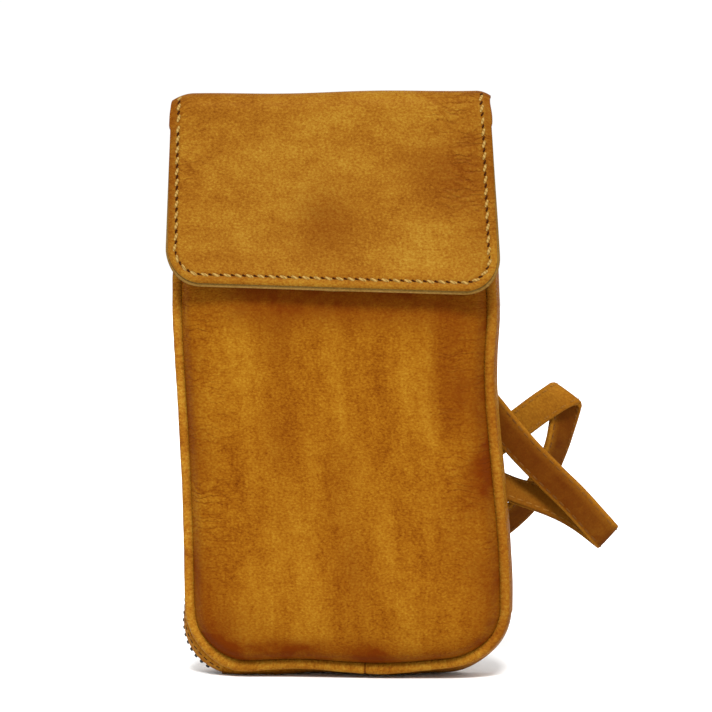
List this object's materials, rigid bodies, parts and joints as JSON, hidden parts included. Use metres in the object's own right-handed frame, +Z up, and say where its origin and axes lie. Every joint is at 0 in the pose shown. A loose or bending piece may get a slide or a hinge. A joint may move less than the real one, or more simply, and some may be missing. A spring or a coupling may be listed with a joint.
{
  "type": "phone pouch",
  "caption": "Upright leather phone pouch with a snap flap over a phone pocket, a zipped rear compartment, hanging strap rings and a folded shoulder strap.",
  "frame": {"origin": "on the floor under the middle of the bottom gusset", "axes": "+Z up along the pouch's height, -Y out of the front panel, +X to the right seen from the front"},
  "size_m": [0.1419, 0.071, 0.1859],
  "materials": {
    "body_leather": "waxed, washed tan",
    "piping_leather": "waxed, creased",
    "strap_leather": "waxed, sewn edges",
    "flap_lining_leather": "flesh side",
    "lining_cloth": "plain weave",
    "thread": "waxed thread",
    "zip_tape": "twill tape",
    "zip_metal": "gunmetal",
    "ring_metal": "gunmetal",
    "tie_cloth": "soft band"
  },
  "bodies": {
    "pouch": {"front_panel": "body_leather", "middle_panel": "body_leather", "back_panel": "body_leather", "gusset": "body_leather", "zip_strip_front": "body_leather", "zip_strip_rear": "body_leather", "flap_fold": "body_leather", "ring_tab_left": "body_leather", "ring_tab_right": "body_leather", "front_piping": "piping_leather", "rear_piping": "piping_leather", "pocket_lining": "lining_cloth", "middle_lining": "lining_cloth", "back_lining": "lining_cloth", "zip_tape_front": "zip_tape", "zip_tape_rear": "zip_tape", "zip_teeth_front": "zip_metal", "zip_teeth_rear": "zip_metal", "zip_bottom_stop": "zip_metal", "zip_top_stops": "zip_metal", "snap_socket": "ring_metal", "strap_left_run": "strap_leather", "strap_hank": "strap_leather", "strap_right_run": "strap_leather", "strap_tie": "tie_cloth"},
    "flap": {"flap_leather": "body_leather", "flap_lining": "flap_lining_leather", "flap_thread": "thread", "snap_stud": "ring_metal"},
    "zip_slider": {"zip_slider": "zip_metal"},
    "zip_pull": {"zip_pull": "zip_metal"},
    "ring_left": {"ring_left": "ring_metal"},
    "ring_right": {"ring_right": "ring_metal"}
  },
  "joints": [
    {"name": "flap_hinge", "type": "hinge", "parent": "pouch", "child": "flap", "pos_m": [0, -0.0148, 0.1779], "axis": [-1, 0, 0], "range_deg": [0, 165], "deforming": ["flap_fold"]},
    {"name": "zip_slide", "type": "slide", "parent": "pouch", "child": "zip_slider", "axis": [-1, 0, 0], "range_m": [0, 0.064], "deforming": ["zip_teeth_front", "zip_teeth_rear"]},
    {"name": "zip_pull_swing", "type": "hinge", "parent": "zip_slider", "child": "zip_pull", "pos_m": [0.029, 0, 0.18065], "axis": [0, 1, 0], "range_deg": [0, 170]},
    {"name": "ring_left_swing", "type": "hinge", "parent": "pouch", "child": "ring_left", "pos_m": [-0.034, 0.0126, 0.166], "axis": [1, 0, 0], "range_deg": [0, 140], "deforming": ["strap_left_run"]},
    {"name": "ring_right_swing", "type": "hinge", "parent": "pouch", "child": "ring_right", "pos_m": [0.034, 0.0126, 0.166], "axis": [1, 0, 0], "range_deg": [0, 140], "deforming": ["strap_right_run"]}
  ]
}
